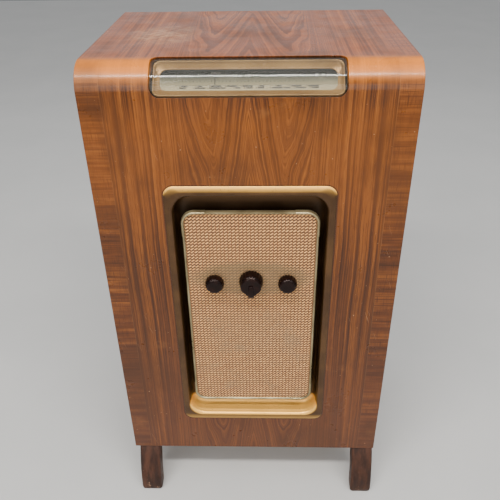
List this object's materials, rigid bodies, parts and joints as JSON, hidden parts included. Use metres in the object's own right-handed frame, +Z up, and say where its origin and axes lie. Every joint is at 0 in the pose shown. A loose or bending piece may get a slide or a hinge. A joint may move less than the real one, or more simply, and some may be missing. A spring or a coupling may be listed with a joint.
{
  "type": "console radio",
  "caption": "Veneered console radio on sabre legs, with a curved dial window in the bend of its front, a framed cloth grille with knobs, a valve chassis and a loudspeaker.",
  "frame": {"origin": "on the floor, under the middle of the feet and the cabinet", "axes": "+X to the right seen from the front, +Y to the back, +Z up"},
  "size_m": [0.52, 0.457, 0.939],
  "materials": {
    "walnut_veneer": "gloss lacquer, worn",
    "walnut_side": "satin lacquer",
    "leg_wood": "dark lacquer, scuffed",
    "plywood": "bare",
    "softwood": "bare",
    "hardboard": "bare fibre",
    "brass_screw": "dull",
    "black_rubber": "matt",
    "gold_moulding": "gold enamel, worn",
    "speaker_cloth": "woven",
    "bronze_trim": "oxidised",
    "clear_cover": "clear, lightly scratched",
    "gold_bezel": "gold enamel",
    "scale_plate": "printed",
    "plated_steel": "dull plate",
    "bright_steel": "bright",
    "pointer_black": "satin",
    "lamp_glass": "clear",
    "cream_plastic": "satin",
    "dial_cord": "waxed",
    "bakelite": "polished",
    "brass_tube": "satin",
    "dark_metal": "satin",
    "brown_laminate": "satin",
    "aluminium_vane": "bare",
    "aluminium_can": "spun",
    "black_iron": "varnished",
    "valve_glass": "clear, getter flash",
    "grey_enamel": "hammered",
    "felt": "pressed",
    "magnet_steel": "plain",
    "cone_paper": "pulp"
  },
  "bodies": {
    "cabinet": {"front_top_panel": "walnut_veneer", "side_panel_left": "walnut_side", "side_panel_right": "walnut_side", "base_board": "plywood", "chassis_shelf": "plywood", "battens": "softwood", "corner_blocks": "softwood", "back_cover": "hardboard", "back_cover_screws": "brass_screw", "mains_grommet": "black_rubber", "front_leg_left": "leg_wood", "front_leg_right": "leg_wood", "rear_leg_left": "leg_wood", "rear_leg_right": "leg_wood", "surround_trough": "gold_moulding", "speaker_baffle": "plywood", "grille_board": "plywood", "grille_cloth": "speaker_cloth", "grille_spacers": "softwood", "trim_ends": "bronze_trim", "trim_sides": "bronze_trim", "trim_corners": "bronze_trim", "dial_cover": "clear_cover", "dial_bezel": "gold_bezel", "dial_scale": "scale_plate", "dial_tray": "plated_steel", "pointer_rail": "bright_steel", "dial_lamps": "lamp_glass", "pointer_cord": "dial_cord", "tuning_cord": "dial_cord", "chassis_pan": "plated_steel", "volume_control": "dark_metal", "tone_control": "dark_metal", "wave_switch": "brown_laminate", "gang_frame": "bright_steel", "gang_stator": "aluminium_vane", "mains_transformer": "black_iron", "smoothing_can": "aluminium_can", "if_cans": "aluminium_can", "valve_bases": "bakelite", "valve_glass": "valve_glass", "output_transformer": "black_iron", "socket_panel": "brown_laminate", "speaker_basket": "grey_enamel", "speaker_edge": "felt", "speaker_magnet": "magnet_steel"},
    "volume": {"volume_knob": "bakelite", "volume_spindle": "bright_steel"},
    "tone": {"tone_knob": "bakelite", "tone_spindle": "bright_steel"},
    "tuning": {"tuning_knob": "bakelite", "tuning_spindle": "brass_tube"},
    "wave": {"wave_knob": "bakelite", "wave_spindle": "bright_steel"},
    "drum": {"drive_drum": "cream_plastic", "gang_rotor": "aluminium_vane"},
    "pointer": {"dial_pointer": "pointer_black"},
    "pulley_l": {"pulley_left": "cream_plastic"},
    "pulley_r": {"pulley_right": "cream_plastic"},
    "cone": {"speaker_cone": "cone_paper"}
  },
  "joints": [
    {"name": "volume_turn", "type": "hinge", "parent": "cabinet", "child": "volume", "pos_m": [-0.065, -0.1995, 0.555], "axis": [0, 1, 0], "range_deg": [0, 300]},
    {"name": "tone_turn", "type": "hinge", "parent": "cabinet", "child": "tone", "pos_m": [0.065, -0.1995, 0.555], "axis": [0, 1, 0], "range_deg": [-135, 135]},
    {"name": "wave_turn", "type": "hinge", "parent": "cabinet", "child": "wave", "pos_m": [0, -0.1995, 0.555], "axis": [0, 1, 0], "range_deg": [-60, 60]},
    {"name": "drum_turn", "type": "hinge", "parent": "cabinet", "child": "drum", "pos_m": [0, -0.1475, 0.64], "axis": [0, 1, 0], "range_deg": [-48.2, 131.7]},
    {"name": "tuning_turn", "type": "hinge", "parent": "cabinet", "child": "tuning", "pos_m": [0, -0.1995, 0.555], "axis": [0, 1, 0], "range_deg": [-605, 1648]},
    {"name": "pointer_slide", "type": "slide", "parent": "cabinet", "child": "pointer", "axis": [1, 0, 0], "range_m": [-0.059, 0.161]},
    {"name": "pulley_l_turn", "type": "hinge", "parent": "cabinet", "child": "pulley_l", "pos_m": [-0.13, -0.15, 0.889], "axis": [0, 1, 0], "range_deg": [-376, 1026]},
    {"name": "pulley_r_turn", "type": "hinge", "parent": "cabinet", "child": "pulley_r", "pos_m": [0.13, -0.15, 0.889], "axis": [0, 1, 0], "range_deg": [-376, 1026]},
    {"name": "cone_travel", "type": "slide", "parent": "cabinet", "child": "cone", "axis": [0, 1, 0], "range_m": [-0.0015, 0.0015], "stiffness_N_per_m": 1500}
  ],
  "couplings": [
    {"joint": "tuning_turn", "follows": "drum_turn", "ratio": 12.5},
    {"joint": "pointer_slide", "follows": "drum_turn", "m_per_rad": 0.07},
    {"joint": "pulley_l_turn", "follows": "drum_turn", "ratio": 7.7778},
    {"joint": "pulley_r_turn", "follows": "drum_turn", "ratio": 7.7778}
  ]
}
